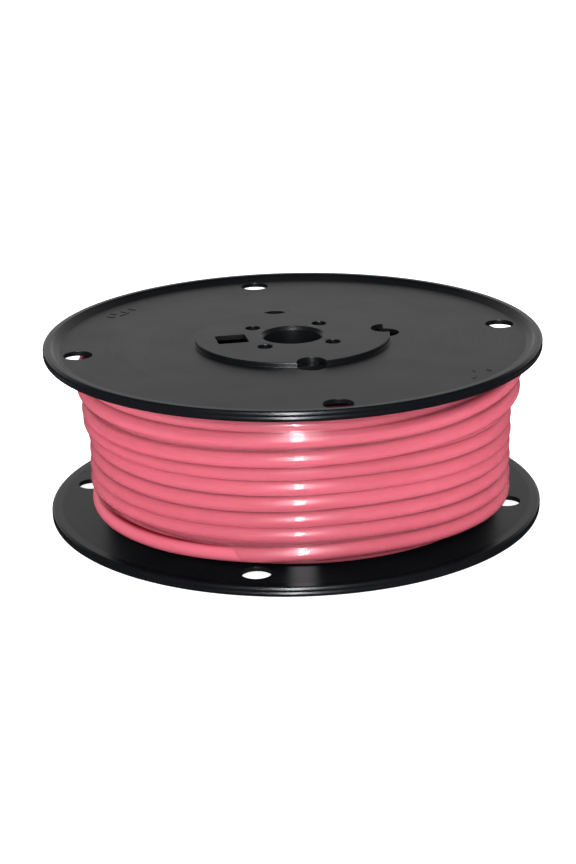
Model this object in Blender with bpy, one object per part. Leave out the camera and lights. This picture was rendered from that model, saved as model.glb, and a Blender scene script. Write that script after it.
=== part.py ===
"""A two-flange plastic reel filled with heavy round line.

Two flanges from the same mould close the ends of a barrel tube. The line is wound on the
barrel, its inner end tucked through a slot into the hollow barrel, and a thin clear film
holds the outer turns. The reel lies on its lower flange: +Z is its axis, the origin is the
centre of its base, and everything is in metres.
"""
import math

import bmesh
import bpy
from mathutils import Matrix, Vector

GAP = 0.0003                 # between pieces that touch on the real reel

# Reel and flanges
REEL_HEIGHT = 0.0593
FLANGE_RADIUS = 0.0825
RIM_HEIGHT = 0.0034          # the rim's outer wall, from the line side to the lip's crest
WEB_THICKNESS = 0.0016
LIP_CREST_OUTER = 0.0815
LIP_CREST_INNER = 0.0800
LIP_FOOT = 0.0772
EDGE_ROUND = 0.0010          # the rim's two outer corners
PAD_RADIUS = 0.0323          # raised hub pad
PAD_HEIGHT = 0.0016          # above the web
ARBOR_RADIUS = 0.00965
ARBOR_CHAMFER = 0.00095
ARBOR_COLLAR_WALL = 0.0021
ARBOR_COLLAR_DEPTH = 0.0120  # below the line side
SEAT_CLEARANCE = 0.0004      # round the barrel's end in its seat
COLLAR_WALL = 0.0020         # locating collar, inside the barrel
COLLAR_DEPTH = 0.0020

# Openings in each flange
RIM_HOLE_RADIUS = 0.00475
RIM_HOLE_CIRCLE = 0.0713
HUB_HOLE_RADIUS = 0.00475
HUB_HOLE_CIRCLE = 0.0315
HUB_HOLE_ANGLES = (0, 90, 270)
DRIVE_WINDOW_LENGTH = 0.0102
DRIVE_WINDOW_WIDTH = 0.0095
DRIVE_WINDOW_CIRCLE = 0.0204
DIMPLE_RADIUS = 0.0025
DIMPLE_DEPTH = 0.0008
DIMPLE_CIRCLE = 0.0160
LOWER_FLANGE_TURN = math.radians(-21)

# Barrel
BARREL_RADIUS = 0.0305
BARREL_WALL = 0.0025
SLOT_LENGTH = 0.0240
SLOT_HEIGHT = 0.0062
SLOT_ANGLE = math.radians(66)

# Line
LINE_DIAMETER = 0.0050
COIL_RADIUS = 0.0699         # outside of the level turns
COIL_SHOULDER = 0.0018       # the outermost turn's roundness at both ends
COIL_OFFSET = 0.0012         # the winding is fuller towards HEAVY_SIDE
HEAVY_SIDE = math.radians(-11)
TOP_TURNS_RISE = 0.0039      # the last turns, wound over the upper part of the coil
TOP_TURNS_SWING = 0.0008
TOP_TURNS_FOOT = 0.0365
TOP_TURNS_LEVEL = 0.0395
START_HEIGHT = 0.0086
# The inner end from the slot into the barrel: radius, angle in degrees round the axis
START_ROUTE = ((0.0276, 59), (0.0262, 54), (0.0246, 46), (0.0236, 34), (0.0234, 20))

FILM_THICKNESS = 0.00025
FILM_INSET = 0.0006          # the film stops this far short of the coil's ends

FLANGE_STEPS = 72
BARREL_STEPS = 48
COIL_STEPS = 72
HOLE_STEPS = 24


def plastic(name, color, roughness, alpha=1.0):
    """A moulded plastic with one colour."""
    material = bpy.data.materials.new(name)
    material.use_nodes = True
    shader = material.node_tree.nodes["Principled BSDF"]
    shader.inputs["Base Color"].default_value = (*color, 1.0)
    shader.inputs["Roughness"].default_value = roughness
    shader.inputs["Metallic"].default_value = 0.0
    shader.inputs["Alpha"].default_value = alpha
    return material


def place(name, mesh, material, parent=None):
    """Put a mesh in the scene as one named sub-part."""
    mesh.materials.append(material)
    part = bpy.data.objects.new(name, mesh)
    bpy.context.scene.collection.objects.link(part)
    part.parent = parent
    return part


def smooth(mesh):
    mesh.shade_smooth()
    mesh.set_sharp_from_angle(angle=math.radians(35))


def turned_form(outline, steps):
    """Turn a closed outline of (radius, height) points once round Z."""
    form = bmesh.new()
    corners = [form.verts.new((radius, 0.0, height)) for radius, height in outline]
    edges = [form.edges.new(pair) for pair in zip(corners, corners[1:] + corners[:1])]
    bmesh.ops.spin(form, geom=corners + edges, cent=(0, 0, 0), axis=(0, 0, 1),
                   angle=math.tau, steps=steps, use_merge=True)
    bmesh.ops.recalc_face_normals(form, faces=form.faces)
    return form


def finish_form(form, name):
    mesh = bpy.data.meshes.new(name)
    form.to_mesh(mesh)
    form.free()
    smooth(mesh)
    return mesh


def flange_outline():
    """One flange with its outer face up and its line side at height 0."""
    pad_top = WEB_THICKNESS + PAD_HEIGHT
    collar_outer = BARREL_RADIUS - BARREL_WALL - SEAT_CLEARANCE
    collar_inner = collar_outer - COLLAR_WALL
    seat_outer = BARREL_RADIUS + SEAT_CLEARANCE
    arbor_outer = ARBOR_RADIUS + ARBOR_COLLAR_WALL
    lip_slope = (LIP_FOOT + LIP_CREST_INNER) / 2
    lip_rise = (WEB_THICKNESS + RIM_HEIGHT) / 2
    round_in = EDGE_ROUND * (1 - math.sqrt(0.5))
    return [
        (ARBOR_RADIUS, -ARBOR_COLLAR_DEPTH),
        (ARBOR_RADIUS, pad_top - ARBOR_CHAMFER),
        (ARBOR_RADIUS + ARBOR_CHAMFER, pad_top),
        (PAD_RADIUS - 0.0003, pad_top),
        (PAD_RADIUS, pad_top - 0.0003),
        (PAD_RADIUS, WEB_THICKNESS),
        (LIP_FOOT, WEB_THICKNESS),
        (lip_slope, lip_rise - 0.0003),
        (LIP_CREST_INNER, RIM_HEIGHT),
        (LIP_CREST_OUTER, RIM_HEIGHT),
        (FLANGE_RADIUS - round_in, RIM_HEIGHT - round_in),
        (FLANGE_RADIUS, RIM_HEIGHT - EDGE_ROUND),
        (FLANGE_RADIUS, EDGE_ROUND),
        (FLANGE_RADIUS - round_in, round_in),
        (FLANGE_RADIUS - EDGE_ROUND, 0.0),
        (seat_outer, 0.0),
        (seat_outer, WEB_THICKNESS),
        (collar_outer, WEB_THICKNESS),
        (collar_outer, -COLLAR_DEPTH),
        (collar_inner, -COLLAR_DEPTH),
        (collar_inner, WEB_THICKNESS),
        (arbor_outer, WEB_THICKNESS),
        (arbor_outer, -ARBOR_COLLAR_DEPTH),
    ]


def drill(form, radius, circle, angle, low, high):
    """Add one upright round cutter between two heights."""
    centre = Vector((circle * math.cos(angle), circle * math.sin(angle), (low + high) / 2))
    bmesh.ops.create_cone(form, cap_ends=True, segments=HOLE_STEPS, radius1=radius,
                          radius2=radius, depth=high - low, matrix=Matrix.Translation(centre))


def flange_cutter_mesh():
    """All the openings of one flange, as separate closed cutters."""
    above = RIM_HEIGHT + 0.001
    form = bmesh.new()
    for quarter in range(4):
        angle = quarter * math.pi / 2
        drill(form, RIM_HOLE_RADIUS, RIM_HOLE_CIRCLE, angle, -0.001, above)
        drill(form, DIMPLE_RADIUS, DIMPLE_CIRCLE, angle + math.pi / 4,
              WEB_THICKNESS + PAD_HEIGHT - DIMPLE_DEPTH, above)
    for degrees in HUB_HOLE_ANGLES:
        drill(form, HUB_HOLE_RADIUS, HUB_HOLE_CIRCLE, math.radians(degrees),
              -COLLAR_DEPTH - 0.001, above)
    window = Matrix.Translation((-DRIVE_WINDOW_CIRCLE, 0, RIM_HEIGHT - 0.001))
    window @= Matrix.Diagonal((DRIVE_WINDOW_LENGTH, DRIVE_WINDOW_WIDTH, 0.004, 1))
    bmesh.ops.create_cube(form, size=1.0, matrix=window)
    mesh = bpy.data.meshes.new("flange_cutter")
    form.to_mesh(mesh)
    form.free()
    return mesh


def cut(part, cutter):
    """Cut a part and keep its cutter out of the finished reel."""
    cutter.hide_render = True
    cutter.display_type = "WIRE"
    boolean = part.modifiers.new("openings", "BOOLEAN")
    boolean.operation = "DIFFERENCE"
    boolean.solver = "EXACT"
    boolean.object = cutter


def add_flange(name, mesh, cutter_mesh, location, rotation):
    seat = bpy.data.objects.new(name + "_seat", None)
    bpy.context.scene.collection.objects.link(seat)
    seat.location = location
    seat.rotation_euler = rotation
    flange = bpy.data.objects.new(name, mesh)
    cutter = bpy.data.objects.new(name + "_cutter", cutter_mesh)
    for part in (flange, cutter):
        bpy.context.scene.collection.objects.link(part)
        part.parent = seat
    cut(flange, cutter)


def add_flanges(material):
    """The upper flange, and the same moulding upside down and turned as the lower one."""
    mesh = finish_form(turned_form(flange_outline(), FLANGE_STEPS), "flange")
    mesh.materials.append(material)
    cutter_mesh = flange_cutter_mesh()
    add_flange("upper_flange", mesh, cutter_mesh, (0, 0, REEL_HEIGHT - RIM_HEIGHT), (0, 0, 0))
    add_flange("lower_flange", mesh, cutter_mesh, (0, 0, RIM_HEIGHT),
               (math.pi, 0, LOWER_FLANGE_TURN))


def add_barrel(material):
    """The tube between the flanges, with the slot for the line's inner end."""
    low = RIM_HEIGHT - WEB_THICKNESS + GAP
    high = REEL_HEIGHT - low
    inner = BARREL_RADIUS - BARREL_WALL
    outline = [(inner, low), (inner, high), (BARREL_RADIUS, high), (BARREL_RADIUS, low)]
    mesh = finish_form(turned_form(outline, BARREL_STEPS), "core_barrel")
    barrel = place("core_barrel", mesh, material)

    form = bmesh.new()
    bmesh.ops.create_cube(form, size=1.0,
                          matrix=Matrix.Diagonal((4 * BARREL_WALL, SLOT_LENGTH, SLOT_HEIGHT, 1)))
    slot_mesh = bpy.data.meshes.new("start_slot_cutter")
    form.to_mesh(slot_mesh)
    form.free()
    slot = bpy.data.objects.new("start_slot_cutter", slot_mesh)
    bpy.context.scene.collection.objects.link(slot)
    slot.location = (inner * math.cos(SLOT_ANGLE), inner * math.sin(SLOT_ANGLE), START_HEIGHT)
    slot.rotation_euler.z = SLOT_ANGLE
    cut(barrel, slot)


def fullness(angle, height):
    """How far the winding stands beyond COIL_RADIUS at a place on its outside."""
    side = math.cos(angle - HEAVY_SIDE)
    climb = (height - TOP_TURNS_FOOT) / (TOP_TURNS_LEVEL - TOP_TURNS_FOOT)
    climb = min(max(climb, 0.0), 1.0)
    return COIL_OFFSET * side + climb * (TOP_TURNS_RISE + TOP_TURNS_SWING * side)


def fill_out(form):
    """Move the outer points of a turned winding to where the turns really lie."""
    for vert in form.verts:
        radius = math.hypot(vert.co.x, vert.co.y)
        if radius > COIL_RADIUS - 2 * COIL_SHOULDER:
            swollen = radius + fullness(math.atan2(vert.co.y, vert.co.x), vert.co.z)
            vert.co.x *= swollen / radius
            vert.co.y *= swollen / radius


def add_coil(material):
    """The outer shape of all the turns, as one closed ring."""
    low = RIM_HEIGHT + GAP
    high = REEL_HEIGHT - low
    inner = BARREL_RADIUS + GAP
    outline = [
        (inner, low),
        (inner, high),
        (COIL_RADIUS - COIL_SHOULDER, high),
        (COIL_RADIUS, high - COIL_SHOULDER),
        (COIL_RADIUS, TOP_TURNS_LEVEL),
        (COIL_RADIUS, TOP_TURNS_FOOT),
        (COIL_RADIUS, low + COIL_SHOULDER),
        (COIL_RADIUS - COIL_SHOULDER, low),
    ]
    form = turned_form(outline, COIL_STEPS)
    fill_out(form)
    place("line_coil", finish_form(form, "line_coil"), material)


def add_film(material):
    """A thin skin round the outer turns."""
    inner = COIL_RADIUS + GAP
    outer = inner + FILM_THICKNESS
    low = RIM_HEIGHT + GAP + COIL_SHOULDER + FILM_INSET
    high = REEL_HEIGHT - low
    heights = (low, TOP_TURNS_FOOT, TOP_TURNS_LEVEL, high)
    outline = [(inner, height) for height in heights]
    outline += [(outer, height) for height in reversed(heights)]
    form = turned_form(outline, COIL_STEPS)
    fill_out(form)
    place("clear_wrap", finish_form(form, "clear_wrap"), material)


def add_start_end(material):
    """The line's inner end, from the barrel's slot to where it lies inside the barrel."""
    route = [Vector((radius * math.cos(math.radians(degrees)),
                     radius * math.sin(math.radians(degrees)), START_HEIGHT))
             for radius, degrees in START_ROUTE]
    curve = bpy.data.curves.new("line_start_end", "CURVE")
    curve.dimensions = "3D"
    spline = curve.splines.new("POLY")
    points = []
    for i in range(len(route) - 1):
        before = route[max(i - 1, 0)]
        start, end = route[i], route[i + 1]
        after = route[min(i + 2, len(route) - 1)]
        for step in range(2):
            t = step / 2
            points.append(0.5 * ((2 * start) + (end - before) * t
                                 + (2 * before - 5 * start + 4 * end - after) * t ** 2
                                 + (3 * start - before - 3 * end + after) * t ** 3))
    points.append(route[-1])
    spline.points.add(len(points) - 1)
    for point, place_on_route in zip(spline.points, points):
        point.co = (*place_on_route, 1.0)
    curve.bevel_depth = LINE_DIAMETER / 2
    curve.bevel_resolution = 3
    curve.use_fill_caps = True
    curve.materials.append(material)
    tail = bpy.data.objects.new("line_start_end", curve)
    bpy.context.scene.collection.objects.link(tail)


def main():
    for leftover in list(bpy.data.objects):
        bpy.data.objects.remove(leftover, do_unlink=True)
    black = plastic("black_plastic", (0.012, 0.013, 0.015), 0.38)
    pink = plastic("pink_line", (0.80, 0.13, 0.19), 0.30)
    film = plastic("clear_film", (0.95, 0.95, 0.97), 0.10, alpha=0.15)
    add_flanges(black)
    add_barrel(black)
    add_coil(pink)
    add_start_end(pink)
    add_film(film)


main()
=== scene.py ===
import math

import bmesh
import bpy
import numpy as np
from mathutils import Matrix, Vector


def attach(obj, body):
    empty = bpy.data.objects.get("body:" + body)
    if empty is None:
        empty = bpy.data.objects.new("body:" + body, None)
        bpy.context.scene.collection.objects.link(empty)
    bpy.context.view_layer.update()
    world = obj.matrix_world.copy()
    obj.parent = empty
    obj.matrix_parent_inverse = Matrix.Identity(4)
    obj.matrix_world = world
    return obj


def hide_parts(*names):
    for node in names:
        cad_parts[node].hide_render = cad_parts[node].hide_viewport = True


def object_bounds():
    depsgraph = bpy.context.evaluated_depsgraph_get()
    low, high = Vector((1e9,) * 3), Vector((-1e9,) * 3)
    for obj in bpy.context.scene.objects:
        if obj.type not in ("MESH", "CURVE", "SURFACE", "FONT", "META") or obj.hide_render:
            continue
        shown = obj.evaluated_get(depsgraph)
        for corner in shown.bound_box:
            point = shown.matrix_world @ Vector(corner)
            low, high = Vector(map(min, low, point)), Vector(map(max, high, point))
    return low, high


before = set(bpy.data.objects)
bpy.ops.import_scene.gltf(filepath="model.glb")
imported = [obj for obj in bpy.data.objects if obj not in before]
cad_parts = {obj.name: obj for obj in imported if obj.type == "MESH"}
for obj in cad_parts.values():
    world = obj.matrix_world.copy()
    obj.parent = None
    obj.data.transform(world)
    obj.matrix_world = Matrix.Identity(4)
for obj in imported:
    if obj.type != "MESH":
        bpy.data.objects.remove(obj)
cad_low, cad_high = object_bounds()
reel_height = cad_high.z - cad_low.z
reel_radius = (cad_high.x - cad_low.x) / 2


# Camera
# A long lens a little above the upper flange, so that both flanges show as flat ellipses with
# the winding between them.
camera_data = bpy.data.cameras.new("camera")
camera_data.sensor_width = 36.0
camera_data.lens = 85.9
camera_data.shift_x = -0.0072
camera_data.shift_y = -0.0164
camera = bpy.data.objects.new("camera", camera_data)
bpy.context.scene.collection.objects.link(camera)

VIEW_TURN = math.radians(-10.8)       # the camera stands this far round from -Y
VIEW_HEIGHT = math.radians(18.43)
VIEW_DISTANCE = 0.6931
CAMERA_ROLL = math.radians(-1.247)
aim = Vector((0, 0, 0.030))
towards_camera = Vector((math.sin(VIEW_TURN) * math.cos(VIEW_HEIGHT),
                         -math.cos(VIEW_TURN) * math.cos(VIEW_HEIGHT),
                         math.sin(VIEW_HEIGHT)))
camera.location = aim + VIEW_DISTANCE * towards_camera
facing = (-towards_camera).to_track_quat("-Z", "Y").to_matrix().to_4x4()
facing = facing @ Matrix.Rotation(CAMERA_ROLL, 4, "Z")
camera.matrix_world = Matrix.Translation(camera.location) @ facing
bpy.context.scene.camera = camera


# Line
# About 27 m of 5 mm round pink line, a soft glossy extrusion. It is machine-wound in nine
# layers that nest in each other, steps to the next turn at the back, and its last turns wander
# down over the outermost layer. Its inner end is tucked through the barrel's slot.
LINE_DIAMETER = 0.0050
LAYERS = 9
LAYER_TURNS = 9
FIRST_LAYER = 0.0333                  # radius of the first layer's centre line
LAYER_RISE = 0.0043375
TURN_PITCH = 0.005256
LOWEST_TURN = 0.00595
STEP_SHARE = 0.09                     # part of a turn, each way, in which it steps to the next
BACK = math.radians(90) + VIEW_TURN
WINDING_SHIFT = 0.0018                # the winding has grown fuller on this side
FULL_SIDE = VIEW_TURN

# The outermost layer's heights in millimetres, left and right of the front
OUTER_TURNS = ((8.5, 9.4), (15.5, 14.9), (20.4, 20.3), (25.6, 25.5), (31.0, 30.4),
               (35.7, 35.5), (40.3, 40.4), (45.1, 45.2), (50.1, 50.2))
OUTER_SPREAD = math.sin(math.radians(27))
# The last turns, on top of that layer: degrees after the last step, height and radius in
# millimetres
TOP_TURNS = ((0, 50.1, 70.6), (60, 50.5, 71.0), (90, 50.7, 71.2), (180, 51.2, 70.6),
             (215, 50.9, 70.4), (250, 50.4, 70.6), (330, 50.2, 71.6), (380, 50.4, 71.6),
             (425, 47.0, 71.6),
             (450, 45.4, 71.4), (500, 45.8, 71.5), (512, 46.1, 71.5), (540, 47.0, 71.6),
             (575, 47.6, 71.7), (600, 48.8, 71.8), (625, 50.0, 71.8), (660, 50.2, 71.8),
             (700, 48.0, 71.8), (740, 43.0, 71.3), (780, 39.0, 70.2), (815, 37.6, 69.8),
             (850, 38.4, 70.4), (876, 39.6, 71.1), (925, 41.4, 71.2), (985, 42.8, 70.9),
             (1034, 42.4, 70.8))
# From and to, in the same degrees: it leaves the layer's height, climbs on top of the layer,
# lies down into it again, and climbs for good
TOP_HEIGHT = (10, 70)
FIRST_RISE = (20, 70)
FIRST_FALL = (185, 225)
SECOND_RISE = (325, 370)
# How far the outer turns sag in millimetres, by degrees round from the front
SAG = ((-180, 1.0), (-90, 2.2), (-64, 2.0), (-38, 1.7), (-14, 1.0), (10, 0.0), (24, 0.0),
       (38, 0.7), (53, 1.4), (70, 2.3), (100, 2.3), (180, 1.0))
SWELL = 0.0017                        # where crossing turns beneath push the outer ones out
SWELL_HEIGHT = 0.0350
SWELL_REACH = 0.0045                  # up and down
SWELL_SIDE, SWELL_SPAN = -90, 40      # degrees round from the front
KNOT_SOFTENING = 22                   # degrees each way over which the last turns' knots blend


def ease(share):
    share = np.clip(share, 0.0, 1.0)
    return share * share * (3 - 2 * share)


def eased_over(value, start, end):
    return ease((value - start) / (end - start))


turn_radius, turn_height, turn_lean = [], [], []
for layer in range(LAYERS):
    downward = layer % 2
    steps = [LOWEST_TURN + (i + 0.5 * (1 - downward)) * TURN_PITCH for i in range(LAYER_TURNS)]
    turn_height += steps[::-1] if downward else steps
    turn_radius += [FIRST_LAYER + layer * LAYER_RISE] * LAYER_TURNS
    turn_lean += [0.0] * LAYER_TURNS
outer_start = len(turn_radius) - len(OUTER_TURNS)
for i, (left, right) in enumerate(OUTER_TURNS):
    turn_height[outer_start + i] = 0.0005 * (left + right)
    turn_lean[outer_start + i] = 0.0005 * (right - left) / OUTER_SPREAD
last_step = len(turn_radius) - 1      # the step into the last of the outer turns
turn_radius, turn_height, turn_lean = map(np.array, (turn_radius, turn_height, turn_lean))

wander = np.random.default_rng(11)
wander_size = wander.uniform(0.00004, 0.00013, (2, 3, len(turn_radius) + 3))
wander_phase = wander.uniform(0, math.tau, (2, 3, len(turn_radius) + 3))


def stepped(values, turns):
    """A value that stays the same along each turn and eases to the next one's at the back."""
    edge = np.clip(np.round(turns).astype(int), 1, len(values) - 1)
    share = ease((turns - edge + STEP_SHARE) / (2 * STEP_SHARE))
    return values[edge - 1] + (values[edge] - values[edge - 1]) * share


def wandering(turns, which):
    """The small unevenness of the outermost turns."""
    number = np.clip(np.floor(turns).astype(int), 0, wander_size.shape[2] - 1)
    total = np.zeros_like(turns)
    for wave in range(3):
        total += (wander_size[which, wave, number]
                  * np.sin((wave + 1) * math.tau * turns + wander_phase[which, wave, number]))
    away_from_step = np.abs(turns - np.round(turns)) / (2 * STEP_SHARE)
    return total * ease(away_from_step) * ease((turns - outer_start) / 0.5)


def line_place(turns):
    """Radius and height of the line's centre after so many turns from the back."""
    around = math.tau * turns + BACK
    radius = stepped(turn_radius, turns)
    height = stepped(turn_height, turns) + stepped(turn_lean, turns) * np.cos(around - FULL_SIDE)
    outer = ease((turns - outer_start) / 0.1)
    from_front = 360 * (turns % 1.0) - 180
    sag = np.array(SAG)
    height -= 0.001 * outer * np.interp(from_front, sag[:, 0], sag[:, 1])
    swollen = np.exp(-((height - SWELL_HEIGHT) / SWELL_REACH) ** 2
                     - ((from_front - SWELL_SIDE) / SWELL_SPAN) ** 2)
    radius = radius + SWELL * outer * swollen
    after = 360 * (turns - last_step)
    knots = np.array(TOP_TURNS)
    reach = np.linspace(-KNOT_SOFTENING, KNOT_SOFTENING, KNOT_SOFTENING + 1)
    weight = np.cos(np.pi * reach / (2 * KNOT_SOFTENING + 2))
    top_height = np.zeros_like(turns)
    top_radius = np.zeros_like(turns)
    for away, part in zip(reach, 0.001 * weight / weight.sum()):
        top_height += part * np.interp(after + away, knots[:, 0], knots[:, 1])
        top_radius += part * np.interp(after + away, knots[:, 0], knots[:, 2])
    first_rise = eased_over(after, *FIRST_RISE) * (1 - eased_over(after, *FIRST_FALL))
    lifted = np.maximum(first_rise, eased_over(after, *SECOND_RISE))
    on_top = eased_over(after, *TOP_HEIGHT)
    radius = radius + (top_radius - radius) * lifted
    height = height + (top_height - height) * on_top
    height = np.maximum(height + wandering(turns, 1), LOWEST_TURN)
    return radius + wandering(turns, 0), height


def winding_point(turns, radius, height):
    """World points at the given radius and height, with the winding's own shift."""
    around = math.tau * turns + BACK
    share = np.clip((radius - FIRST_LAYER) / (LAYER_RISE * (LAYERS - 1)), 0, 1)
    shift = WINDING_SHIFT * share
    return np.stack([radius * np.cos(around) + shift * math.cos(FULL_SIDE),
                     radius * np.sin(around) + shift * math.sin(FULL_SIDE), height], axis=-1)


def smooth_route(corners, steps):
    """Points on a smooth curve through the corners."""
    corners = [Vector(corner) for corner in corners]
    points = []
    for i in range(len(corners) - 1):
        before, after = corners[max(i - 1, 0)], corners[min(i + 2, len(corners) - 1)]
        start, end = corners[i], corners[i + 1]
        for step in range(steps):
            t = step / steps
            points.append(0.5 * ((2 * start) + (end - before) * t
                                 + (2 * before - 5 * start + 4 * end - after) * t ** 2
                                 + (3 * start - before - 3 * end + after) * t ** 3))
    return points


# The inner end inside the barrel, out through the slot and onto the barrel: radius, degrees
INNER_END = ((0.0234, 20), (0.0236, 34), (0.0246, 46), (0.0262, 54), (0.0276, 59), (0.0300, 67),
             (0.0324, 78), (0.0333, 90), (0.0333, 102))
INNER_STEPS = 4
COARSE_POINTS, FINE_POINTS = 30, 96   # for each turn, of the hidden and of the outer layers
FINE_BEFORE = 10                      # turns under the outermost layer that are fine as well
inner_height = LOWEST_TURN + 0.5 * TURN_PITCH
inner_corners = [(radius * math.cos(math.radians(degrees)),
                  radius * math.sin(math.radians(degrees)), inner_height)
                 for radius, degrees in INNER_END]
inner_points = smooth_route(inner_corners, INNER_STEPS)[:-INNER_STEPS]
first_turn = (math.radians(90) - BACK) / math.tau
last_turn = last_step + TOP_TURNS[-1][0] / 360
fine_from = outer_start - FINE_BEFORE
coarse = np.arange(first_turn, fine_from, 1 / COARSE_POINTS)
fine = np.arange(fine_from, last_turn, 1 / FINE_POINTS)
turns = np.concatenate([coarse, fine, [last_turn]])
wound_points = winding_point(turns, *line_place(turns))
line_points = np.concatenate([np.array(inner_points), wound_points])

line_curve = bpy.data.curves.new("wound_line", "CURVE")
line_curve.dimensions = "3D"
line_curve.bevel_depth = LINE_DIAMETER / 2
line_curve.bevel_resolution = 6
line_curve.use_fill_caps = True
spline = line_curve.splines.new("POLY")
spline.points.add(len(line_points) - 1)
points_and_weights = np.column_stack([line_points, np.ones(len(line_points))])
spline.points.foreach_set("co", points_and_weights.ravel())
spline.use_smooth = True
wound_line = bpy.data.objects.new("wound_line", line_curve)
bpy.context.scene.collection.objects.link(wound_line)


class Wire:
    """One output of a shader node. Arithmetic on it adds Math nodes to the same material."""

    def __init__(self, tree, socket=None):
        self.tree = tree
        self.socket = socket

    def node(self, kind, settings=None, inputs=None, output=0):
        """Add a node: its settings first, then its inputs. Gives one of its outputs."""
        made = self.tree.nodes.new("ShaderNode" + kind)
        for name, value in (settings or {}).items():
            setattr(made, name, value)
        for name, value in (inputs or {}).items():
            if isinstance(value, Wire):
                self.tree.links.new(value.socket, made.inputs[name])
            else:
                made.inputs[name].default_value = value
        return Wire(self.tree, made.outputs[output])

    def into(self, socket):
        self.tree.links.new(self.socket, socket)

    def math(self, operation, first, second=0.0):
        return self.node("Math", {"operation": operation}, {0: first, 1: second})

    def mixed(self, low, high):
        """A colour between low and high, by this value."""
        return self.node("Mix", {"data_type": "RGBA"}, {0: self, 6: low, 7: high}, output=2)

    def between(self, low, high):
        """0 below low, 1 above high, and a smooth rise between."""
        return self.node("MapRange", {"interpolation_type": "SMOOTHSTEP"},
                         {"Value": self, "From Min": low, "From Max": high})

    def __add__(self, other):
        return self.math("ADD", self, other)

    def __sub__(self, other):
        return self.math("SUBTRACT", self, other)

    def __rsub__(self, other):
        return self.math("SUBTRACT", other, self)

    def __mul__(self, other):
        return self.math("MULTIPLY", self, other)

    __radd__ = __add__
    __rmul__ = __mul__


def new_finish(name, sockets):
    """A material with its uniform values set; gives it, its shader and a wire to build on."""
    material = bpy.data.materials.new(name)
    material.use_nodes = True
    shader = material.node_tree.nodes["Principled BSDF"]
    for socket, value in sockets.items():
        shader.inputs[socket].default_value = value
    return material, shader, Wire(material.node_tree)


def round_the_axis(wire):
    """Radius, angle and height of the shaded point on the reel."""
    place = wire.node("TexCoord", output=3)
    parts = [place.node("SeparateXYZ", None, {0: place}, output=i) for i in range(3)]
    radius = wire.math("SQRT", parts[0] * parts[0] + parts[1] * parts[1])
    return radius, wire.math("ARCTAN2", parts[1], parts[0]), parts[2]


def streaks(wire, radius, angle, height, along, across, seed, detail=2.0):
    """Noise drawn out round the reel: `along` features per radian, `across` per metre."""
    place = wire.node("CombineXYZ", None, {0: angle * along + seed, 1: radius * across,
                                           2: height * across})
    return wire.node("TexNoise", None, {"Vector": place, "Scale": 1.0, "Detail": detail})


PAINTED_GROOVE_SHADE = (0.40, 0.018, 0.038, 1)  # painted shade: the deeper red of the grooves, where two turns shade and light each other


def pink_extrusion():
    material, shader, wire = new_finish("pink_extrusion", {
        "IOR": 1.48, "Specular IOR Level": 0.3})
    radius, angle, height = round_the_axis(wire)
    blush = streaks(wire, radius, angle, height, 1.6, 90, 3.0)
    die_lines = streaks(wire, radius, angle, height, 2.5, 2600, 9.0, 3.0)
    tone = (blush * 0.75 + die_lines * 0.25).between(0.36, 0.66)
    crown = tone.mixed((0.68, 0.116, 0.168, 1), (0.76, 0.150, 0.214, 1))
    facing = wire.node("TexCoord", output=1)
    lean = [wire.node("SeparateXYZ", None, {0: facing}, output=i) for i in range(2)]
    outward = lean[0] * wire.math("COSINE", angle) + lean[1] * wire.math("SINE", angle)
    # Painted shade: where the surface faces away from the outside, down in the grooves, the pink
    # turns to a deeper red that stands for the shade and light two turns throw on each other.
    pink = outward.between(0.02, 0.60).mixed(PAINTED_GROOVE_SHADE, crown)
    pink.into(shader.inputs["Base Color"])
    (0.30 + 0.12 * die_lines).into(shader.inputs["Roughness"])
    relief = wire.node("Bump", None, {"Strength": 0.25, "Distance": 0.00004, "Height": die_lines})
    relief.into(shader.inputs["Normal"])
    return material


line_curve.materials.append(pink_extrusion())
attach(wound_line, "root")
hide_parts("line_coil", "line_start_end")
wound_line.visible_glossy = False     # mirrors see the black flag's painted dark reflection in its place


# Clear film
# A thin stretch film pulled tight round the outer turns to hold them. It bridges the grooves,
# is drawn into fine ridges that run round the reel, leaves the lowest groove open on the left,
# and its end overlaps at the back.
FILM_ROWS = 150
FILM_COLUMNS = 520
FILM_OVERLAP = 0.06                   # part of a turn
FILM_LIFT = 0.00010
FILM_BRIDGE = 0.0045                  # radius that the film takes between two turns
FILM_HEM = 0.0010                     # how far it reaches past the middle of the outermost turns
OPEN_GROOVE = (math.radians(95), math.radians(166))
OPEN_GROOVE_RISE = 0.0056
OPEN_GROOVE_EASE = (0.5, 0.09)        # the angle it takes to open and to close
FILM_RIDGES = 90
FILM_OVERLAP_LIFT = 0.00012

film_columns = np.linspace(-FILM_OVERLAP, 1.0, FILM_COLUMNS)
strand_turns = (fine_from + 1 + np.arange(math.ceil(last_turn) - fine_from)[:, None]
                + (film_columns % 1.0)[None, :])
strand_radius, strand_height = line_place(np.minimum(strand_turns, last_turn))
share = np.clip((strand_radius - FIRST_LAYER) / (LAYER_RISE * (LAYERS - 1)), 0, 1)
strand_radius -= WINDING_SHIFT * (1 - share)
strand_height = np.where(strand_turns > last_turn, np.inf, strand_height)
film_low = strand_height.min(axis=0) - FILM_HEM
film_high = np.where(strand_turns > last_turn, 0, strand_height).max(axis=0) + FILM_HEM
film_angle = math.tau * (film_columns % 1.0)
opens, closes = OPEN_GROOVE_EASE
open_groove = (ease((film_angle - OPEN_GROOVE[0] + opens) / opens)
               * ease((OPEN_GROOVE[1] - film_angle) / closes))
film_low = film_low + OPEN_GROOVE_RISE * open_groove
up_the_film = np.linspace(0, 1, FILM_ROWS)
film_heights = film_low[:, None] + (film_high - film_low)[:, None] * up_the_film

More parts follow.
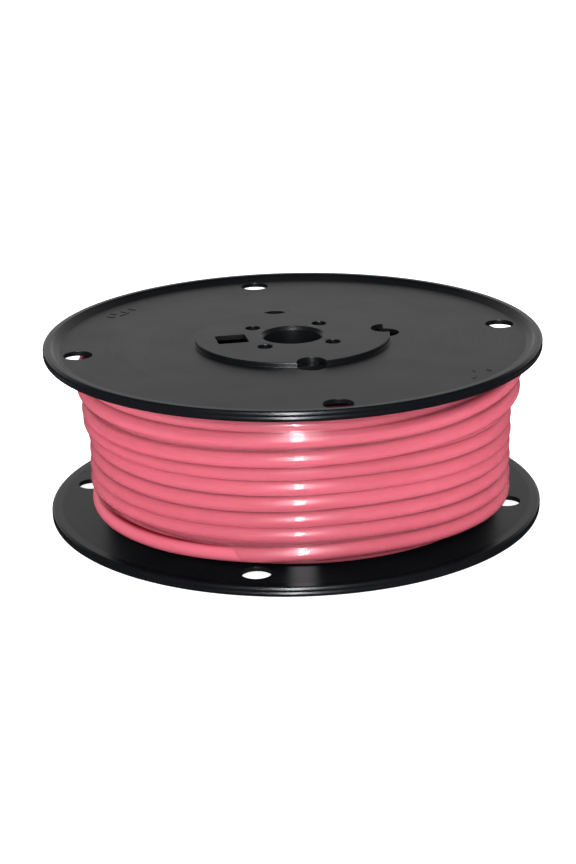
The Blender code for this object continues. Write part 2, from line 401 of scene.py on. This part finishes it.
skin = np.full(film_heights.shape, 1.0)
for lean in np.radians(np.linspace(-80, 80, 25)):
    level = film_heights + FILM_BRIDGE * math.sin(lean)
    drop = (LINE_DIAMETER / 2 + FILM_BRIDGE) ** 2 - (level[None] - strand_height[:, :, None]) ** 2
    reached = strand_radius[:, :, None] + np.sqrt(np.maximum(drop, 0))
    reached = np.where(drop > 0, reached, 0).max(axis=0)
    skin = np.where(reached > 0, np.minimum(skin, reached - FILM_BRIDGE * math.cos(lean)), skin)

ridges = np.random.default_rng(4)
for ridge in range(FILM_RIDGES):
    centre = ridges.uniform(film_low.min(), film_high.max())
    where = ridges.uniform(0, 1)
    span = ridges.uniform(0.03, 0.16)
    slope = ridges.uniform(-0.0012, 0.0012)
    tall = ridges.uniform(0.00002, 0.00005)
    width = ridges.uniform(0.00022, 0.00045)
    offset = (film_columns - where + 0.5) % 1.0 - 0.5
    along = np.exp(-(offset / span) ** 2)[:, None]
    ridge_height = centre + (slope * offset / span)[:, None]
    skin += tall * along * np.exp(-((film_heights - ridge_height) / width) ** 2)
skin += FILM_LIFT + FILM_OVERLAP_LIFT * ease(-film_columns / FILM_OVERLAP)[:, None]

around = math.tau * film_columns[:, None] + BACK
film_points = np.stack([skin * np.cos(around) + WINDING_SHIFT * math.cos(FULL_SIDE),
                        skin * np.sin(around) + WINDING_SHIFT * math.sin(FULL_SIDE),
                        film_heights], axis=-1)
corner = np.arange(FILM_COLUMNS * FILM_ROWS).reshape(FILM_COLUMNS, FILM_ROWS)
film_faces = np.stack([corner[:-1, :-1], corner[1:, :-1], corner[1:, 1:], corner[:-1, 1:]],
                      axis=-1)
film_mesh = bpy.data.meshes.new("stretch_film")
film_mesh.from_pydata(film_points.reshape(-1, 3).tolist(), [],
                      film_faces.reshape(-1, 4).tolist())
film_mesh.shade_smooth()
stretch_film = bpy.data.objects.new("stretch_film", film_mesh)
bpy.context.scene.collection.objects.link(stretch_film)
stretch_film.visible_glossy = False


def clear_film():
    material, shader, wire = new_finish("clear_film", {
        "Base Color": (0.84, 0.19, 0.26, 1), "Metallic": 0.10, "IOR": 1.6,
        "Specular IOR Level": 1.0, "Coat Weight": 1.0, "Coat Roughness": 0.12, "Coat IOR": 1.6})
    radius, angle, height = round_the_axis(wire)
    drawn_lines = streaks(wire, radius, angle, height, 4.0, 900, 2.0, 2.0)
    haze = streaks(wire, radius, angle, height, 9.0, 320, 7.0, 3.0)
    fine = streaks(wire, radius, angle, height, 7.0, 2400, 5.0, 1.0)
    (0.20 + 0.16 * haze).into(shader.inputs["Roughness"])
    relief = drawn_lines * 0.95 + fine * 0.05
    bump = wire.node("Bump", None, {"Strength": 1.0, "Distance": 0.00018, "Height": relief})
    bump.into(shader.inputs["Normal"])
    gloss = wire.node("Fresnel", {}, {"IOR": 1.5})
    (gloss * 0.2 + 0.24 + 0.06 * haze).into(shader.inputs["Alpha"])
    return material


film_mesh.materials.append(clear_film())
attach(stretch_film, "root")
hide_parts("clear_wrap")


# Flanges
# Two mouldings from one mould in glossy black polystyrene: a thin web with a rolled rim, a
# raised hub pad round the chamfered arbor bore, holes to tie the line's end, two-level holes
# across the pad's edge, a square drive window, four dimples and a few small raised bars.
RIM_HEIGHT = 0.0034
RIM_ROLL = 0.00105
RIM_CREST = 0.0802                    # radius where the lip's flat top begins
LIP_CORNER = 0.0007
WEB = 0.0016
WEB_EDGE = 0.0768                     # radius where the web turns up into the lip
WEB_FILLET = 0.0009
PAD_TOP = 0.0032
PAD_RADIUS = 0.0323
PAD_CORNER = 0.00035
SOFT_CORNER = 0.00025
ARBOR = 0.00965
ARBOR_CHAMFER = 0.00115
COLLAR = 0.01175
COLLAR_LENGTH = 0.0120
SEAT_INNER, SEAT_MIDDLE, SEAT_OUTER = 0.0256, 0.0276, 0.0309
SEAT_DEPTH = 0.0020
FLANGE_SEGMENTS = 288
HOLE_SEGMENTS = 48
HOLE_RADIUS = 0.00475
RIM_HOLE_CIRCLE = 0.0713
HUB_HOLE_CIRCLE = 0.0315
DIMPLE_RADIUS = 0.0025
DIMPLE_CIRCLE = 0.0160
DIMPLE_DEPTH = 0.0006
# The raised bars' radius and length in millimetres, with their place and their lean in degrees
BARS = ((68.9, 2.0, -45.5, 40), (72.8, 1.8, -43.2, 60), (73.1, 2.2, -50.4, 20),
        (70.0, 3.0, 132.5, 90), (70.0, 3.0, 136.0, 90), (72.0, 2.2, 139.0, 90),
        (70.6, 3.0, 142.0, 90), (68.4, 5.0, 137.5, 0))
BAR_WIDTH, BAR_HEIGHT = 0.0007, 0.00015
BAR_DEPTH, BAR_SINK = 0.0006, 0.0003  # each bar's own depth, half of which is in the web
RIM_GROOVE = 0.00022
RIM_HOLE_SOFT, HUB_HOLE_SOFT, DIMPLE_SOFT = 0.0002, 0.00015, 0.0003
WINDOW_MIDDLE = (-0.0204, 0, 0.0024)
WINDOW_CUT = (0.0102, 0.0095, 0.004, 1)
WINDOW_CORNER = 0.0006
WELD_LINE = math.radians(176)         # where two fronts of molten plastic met in the mould
WELD_END = 0.050                      # radius where it fades
RIM_GLOSS = 0.0786                    # radius where the lip's smoother surface begins


def arc(centre_radius, centre_height, size, start, end, steps):
    """Outline points round a corner, from start to end in degrees."""
    angles = np.radians(np.linspace(start, end, steps + 1))
    return [(centre_radius + size * math.cos(a), centre_height + size * math.sin(a))
            for a in angles]


def rolled_rim():
    """The rim's outer wall, top to bottom: two soft rolls with a shallow groove between."""
    upper = arc(reel_radius - RIM_ROLL, RIM_HEIGHT - RIM_ROLL, RIM_ROLL, 90, -12, 9)
    lower = arc(reel_radius - RIM_ROLL, RIM_ROLL, RIM_ROLL, 12, -90, 9)
    groove = [(reel_radius - RIM_GROOVE, RIM_HEIGHT / 2)]
    return upper + groove + lower


def flange_outline():
    """One flange, outer face up, its line side at height 0."""
    bore = [(ARBOR, -COLLAR_LENGTH), (ARBOR, PAD_TOP - ARBOR_CHAMFER)]
    bore_edge = arc(ARBOR + ARBOR_CHAMFER, PAD_TOP - SOFT_CORNER, SOFT_CORNER, 135, 90, 3)
    pad_edge = arc(PAD_RADIUS - PAD_CORNER, PAD_TOP - PAD_CORNER, PAD_CORNER, 90, 0, 5)
    pad_foot = arc(PAD_RADIUS + SOFT_CORNER, WEB + SOFT_CORNER, SOFT_CORNER, 180, 270, 4)
    lip_foot = arc(WEB_EDGE, WEB + WEB_FILLET, WEB_FILLET, 270, 318, 6)
    lip_edge = arc(RIM_CREST, RIM_HEIGHT - LIP_CORNER, LIP_CORNER, 138, 90, 6)
    seat = [(SEAT_OUTER, 0.0), (SEAT_OUTER, WEB), (SEAT_MIDDLE, WEB),
            (SEAT_MIDDLE, -SEAT_DEPTH), (SEAT_INNER, -SEAT_DEPTH), (SEAT_INNER, WEB)]
    collar = [(COLLAR, WEB), (COLLAR, -COLLAR_LENGTH)]
    outer_face = bore + bore_edge + pad_edge + pad_foot + lip_foot + lip_edge
    return outer_face + rolled_rim() + seat + collar


def turned(outline, segments):
    form = bmesh.new()
    corners = [form.verts.new((radius, 0.0, height)) for radius, height in outline]
    edges = [form.edges.new(pair) for pair in zip(corners, corners[1:] + corners[:1])]
    bmesh.ops.spin(form, geom=corners + edges, cent=(0, 0, 0), axis=(0, 0, 1), angle=math.tau,
                   steps=segments, use_merge=True)
    bmesh.ops.recalc_face_normals(form, faces=form.faces)
    return form


def soft_drill(form, radius, circle, degrees, low, high, soft):
    """A round cutter that flares at the surfaces it leaves, so that it cuts soft edges."""
    beyond = 0.002
    flare = [(radius + soft * (1 - math.sin(a)), soft * (1 - math.cos(a)))
             for a in np.radians((28, 45, 65, 90))]
    flare = [(radius + 1.1 * soft, -beyond), (radius + 1.1 * soft, -0.15 * soft)] + flare
    outline = [(0.0, low - beyond)] + [(r, low + z) for r, z in flare]
    outline += [(r, high - z) for r, z in flare[::-1]] + [(0.0, high + beyond)]
    place = Matrix.Rotation(math.radians(degrees), 4, "Z") @ Matrix.Translation((circle, 0, 0))
    rings = []
    for r, z in outline:
        count = 1 if r == 0 else HOLE_SEGMENTS
        angles = [math.tau * (i + 0.5) / HOLE_SEGMENTS for i in range(count)]
        rings.append([form.verts.new(place @ Vector((r * math.cos(a), r * math.sin(a), z)))
                      for a in angles])
    for inner, outer in zip(rings, rings[1:]):
        for i in range(HOLE_SEGMENTS):
            ring = [inner[i % len(inner)], inner[(i + 1) % len(inner)],
                    outer[(i + 1) % len(outer)], outer[i % len(outer)]]
            form.faces.new(list(dict.fromkeys(ring)))


def flange_openings():
    form = bmesh.new()
    for quarter in range(4):
        soft_drill(form, HOLE_RADIUS, RIM_HOLE_CIRCLE, 90 * quarter, 0.0, WEB, RIM_HOLE_SOFT)
        soft_drill(form, DIMPLE_RADIUS, DIMPLE_CIRCLE, 45 + 90 * quarter,
                   PAD_TOP - DIMPLE_DEPTH, PAD_TOP + 0.00002, DIMPLE_SOFT)
    for degrees in (0, 90, 270):
        soft_drill(form, HOLE_RADIUS, HUB_HOLE_CIRCLE, degrees, -SEAT_DEPTH, PAD_TOP,
                   HUB_HOLE_SOFT)
    bmesh.ops.recalc_face_normals(form, faces=form.faces)
    place = Matrix.Translation(WINDOW_MIDDLE) @ Matrix.Diagonal(WINDOW_CUT)
    window = bmesh.ops.create_cube(form, size=1.0, matrix=place)
    upright = [e for e in {e for v in window["verts"] for e in v.link_edges}
               if abs(e.verts[0].co.z - e.verts[1].co.z) > 0.001]
    bmesh.ops.bevel(form, geom=upright, offset=WINDOW_CORNER, segments=3, affect="EDGES",
                    profile=0.5)
    return form


def add_bars(form):
    for radius, length, degrees, lean in BARS:
        place = (Matrix.Rotation(math.radians(degrees), 4, "Z")
                 @ Matrix.Translation((radius / 1000, 0, WEB + BAR_HEIGHT - BAR_SINK))
                 @ Matrix.Rotation(math.radians(lean), 4, "Z")
                 @ Matrix.Diagonal((BAR_WIDTH, length / 1000, BAR_DEPTH, 1)))
        bmesh.ops.create_cube(form, size=1.0, matrix=place)


def mesh_of(form, name):
    mesh = bpy.data.meshes.new(name)
    form.to_mesh(mesh)
    form.free()
    return mesh


blank_form = turned(flange_outline(), FLANGE_SEGMENTS)
add_bars(blank_form)
flange_blank = bpy.data.objects.new("flange_blank", mesh_of(blank_form, "flange_blank"))
openings = bpy.data.objects.new("flange_openings", mesh_of(flange_openings(), "flange_openings"))
for helper in (flange_blank, openings):
    bpy.context.scene.collection.objects.link(helper)
cutting = flange_blank.modifiers.new("openings", "BOOLEAN")
cutting.operation = "DIFFERENCE"
cutting.solver = "EXACT"
cutting.use_self = True
cutting.object = openings
bpy.context.view_layer.update()
evaluated = flange_blank.evaluated_get(bpy.context.evaluated_depsgraph_get())
cut_form = bmesh.new()
cut_form.from_mesh(evaluated.to_mesh())
bmesh.ops.remove_doubles(cut_form, verts=cut_form.verts, dist=0.0000005)
bmesh.ops.dissolve_degenerate(cut_form, edges=cut_form.edges, dist=0.0000005)
flange_mesh = mesh_of(cut_form, "moulded_flange")
for helper in (flange_blank, openings):
    bpy.data.objects.remove(helper)


def black_styrene():
    material, shader, wire = new_finish("black_styrene", {"IOR": 1.5})
    radius, angle, height = round_the_axis(wire)
    flow = streaks(wire, radius, angle, height, 1.1, 60, 4.0, 4.0)
    polish = streaks(wire, radius, angle, height, 0.8, 900, 8.0, 3.0)
    place = wire.node("TexCoord", output=3)
    scuffs = wire.node("TexNoise", None, {"Vector": place, "Scale": 70.0, "Detail": 6.0})
    grain = wire.node("TexNoise", None, {"Vector": place, "Scale": 2600.0, "Detail": 2.0})
    tone = (flow * 0.6 + scuffs * 0.4).between(0.35, 0.7)
    tone.mixed((0.0040, 0.0045, 0.0060, 1), (0.0062, 0.0067, 0.0082, 1)).into(
        shader.inputs["Base Color"])
    rim = radius.between(RIM_GLOSS, RIM_GLOSS + 0.001)
    (0.29 + 0.08 * scuffs + 0.05 * polish - 0.10 * rim).into(shader.inputs["Roughness"])
    from_weld = wire.math("ABSOLUTE", angle - WELD_LINE) * radius
    inside = 1 - radius.between(WELD_END, WELD_END + 0.005)
    weld = inside * (1 - from_weld.between(0.0001, 0.0005))
    relief = flow + polish * 0.15 + grain * 0.12 + weld * 0.4
    bump = wire.node("Bump", None, {"Strength": 0.3, "Distance": 0.00004, "Height": relief})
    bump.into(shader.inputs["Normal"])
    return material


styrene = black_styrene()
flange_mesh.materials.append(styrene)


def add_flange(name, node, place):
    mesh = flange_mesh.copy()
    mesh.transform(place)
    mesh.shade_smooth()
    mesh.set_sharp_from_angle(angle=math.radians(40))
    flange = bpy.data.objects.new(name, mesh)
    bpy.context.scene.collection.objects.link(flange)
    weighted = flange.modifiers.new("even_shading", "WEIGHTED_NORMAL")
    weighted.keep_sharp = True
    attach(flange, "root")
    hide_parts(node)


LOWER_TURN = math.radians(-21)
upper_place = Matrix.Translation((0, 0, reel_height - RIM_HEIGHT))
lower_place = (Matrix.Translation((0, 0, RIM_HEIGHT)) @ Matrix.Rotation(LOWER_TURN, 4, "Z")
               @ Matrix.Rotation(math.pi, 4, "X"))
add_flange("moulded_upper_flange", "upper_flange", upper_place)
add_flange("moulded_lower_flange", "lower_flange", lower_place)


# Barrel
# A plain black tube pressed between the two flanges' seats, extruded and sawn to length. Only
# its inside and its ends show, through the hub's holes.
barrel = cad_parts["core_barrel"]
barrel.data.materials.clear()
barrel.data.materials.append(styrene)


# Studio
# A white floor, a pale surround that is brightest behind the reel, one narrow strip light above
# the camera for the highlight down the winding, and wide soft lights.
FLOOR_SIZE = 6.0
FLOOR_GAP = 0.0002
floor_mesh = bpy.data.meshes.new("floor")
floor_corners = [(-FLOOR_SIZE, -FLOOR_SIZE, 0), (FLOOR_SIZE, -FLOOR_SIZE, 0),
                 (FLOOR_SIZE, FLOOR_SIZE, 0), (-FLOOR_SIZE, FLOOR_SIZE, 0)]
floor_mesh.from_pydata(floor_corners, [], [(0, 1, 2, 3)])
floor = bpy.data.objects.new("floor", floor_mesh)
bpy.context.scene.collection.objects.link(floor)
floor.location.z = -FLOOR_GAP
white_floor = new_finish("white_floor", {
    "Base Color": (0.9, 0.9, 0.9, 1), "Roughness": 0.9, "Specular IOR Level": 0.0,
    "Emission Color": (1, 1, 1, 1), "Emission Strength": 0.95})[0]
floor_mesh.materials.append(white_floor)
floor.visible_glossy = False

world = bpy.data.worlds.new("studio")
bpy.context.scene.world = world
world.use_nodes = True
background = world.node_tree.nodes["Background"]
sky = Wire(world.node_tree)
direction = sky.node("TexCoord", output=0)
across = sky.node("VectorMath", {"operation": "DOT_PRODUCT"},
                  {0: direction, 1: (-math.sin(VIEW_TURN), math.cos(VIEW_TURN), 0)}, output=1)
upward = sky.node("SeparateXYZ", None, {0: direction}, output=2)
behind = across.between(0.25, 0.88)
above = upward.between(-0.02, 0.06)
mirrored = 0.012 + behind * above * (0.80 - 1.1 * upward)
glossy = sky.node("LightPath", output=3)
background.inputs["Color"].default_value = (1, 1, 1, 1)
(mirrored * glossy + 0.32 * (1 - glossy)).into(background.inputs["Strength"])


# A black flag inside the winding is all that mirrors see of it. It is a painted dark reflection
# that keeps the lower flange black in front of the line.
# Its one pale glowing band is a painted reflection, mirrored as the glint down the winding.
FLAG_RADIUS = 0.0660
FLAG_GAP = 0.0002
PAINTED_GLINT_SIDE = VIEW_TURN - math.radians(90)
flag_form = bmesh.new()
bmesh.ops.create_cone(flag_form, cap_ends=False, segments=96, radius1=FLAG_RADIUS,
                      radius2=FLAG_RADIUS, depth=reel_height - 2 * (RIM_HEIGHT + FLAG_GAP))
flag = bpy.data.objects.new("painted_reflection_flag", mesh_of(flag_form, "painted_reflection_flag"))
flag.location = (WINDING_SHIFT, 0, reel_height / 2)
flag_finish, flag_shader, flag_wire = new_finish("painted_reflection_black", {
    "Base Color": (0.0, 0.0, 0.0, 1), "Specular IOR Level": 0.0, "Roughness": 1.0,
    "Emission Strength": 0.6})
flag_angle = round_the_axis(flag_wire)[1]
from_painted_glint = flag_wire.math("ABSOLUTE", flag_angle - PAINTED_GLINT_SIDE)
painted_glint = 1 - from_painted_glint.between(0.02, 0.09)
# Painted reflection: a pale glowing band on the flag, which the lower flange mirrors as a glint
# down the winding.
painted_glint.mixed((0, 0, 0, 1), (1, 0.95, 0.97, 1)).into(flag_shader.inputs["Emission Color"])
flag.data.materials.append(flag_finish)
bpy.context.scene.collection.objects.link(flag)
flag.visible_camera = False
flag.visible_diffuse = False
flag.visible_shadow = False
flag.visible_transmission = False


def soft_light(name, degrees, elevation, distance, size, power, colour=(1, 1, 1), glossy=True):
    """An area light facing the reel, `degrees` round from the camera and above the floor."""
    turn = math.radians(degrees) + VIEW_TURN
    rise = math.radians(elevation)
    data = bpy.data.lights.new(name, "AREA")
    data.shape = "RECTANGLE"
    data.size, data.size_y = size
    data.energy = power
    data.color = colour
    lamp = bpy.data.objects.new(name, data)
    bpy.context.scene.collection.objects.link(lamp)
    back = Vector((math.sin(turn) * math.cos(rise), -math.cos(turn) * math.cos(rise),
                   math.sin(rise)))
    lamp.location = Vector((0, 0, reel_height / 2)) + distance * back
    lamp.rotation_euler = (-back).to_track_quat("-Z", "Y").to_euler()
    lamp.visible_glossy = glossy
    return lamp


strip = soft_light("strip", -1.5, 32, 1.1, (0.09, 1.6), 22.0, (0.93, 0.96, 1.0))
strip.visible_diffuse = False
soft_light("front_fill", 0, 30, 1.3, (1.6, 0.5), 8.6, glossy=False)
soft_light("left_fill", -70, 16, 1.3, (1.0, 0.5), 8.0, glossy=False)
soft_light("right_fill", 70, 16, 1.3, (1.0, 0.5), 8.0, glossy=False)
soft_light("back_fill", 180, 30, 1.3, (1.6, 0.5), 4, glossy=False)
bpy.context.scene.view_settings.view_transform = "Standard"
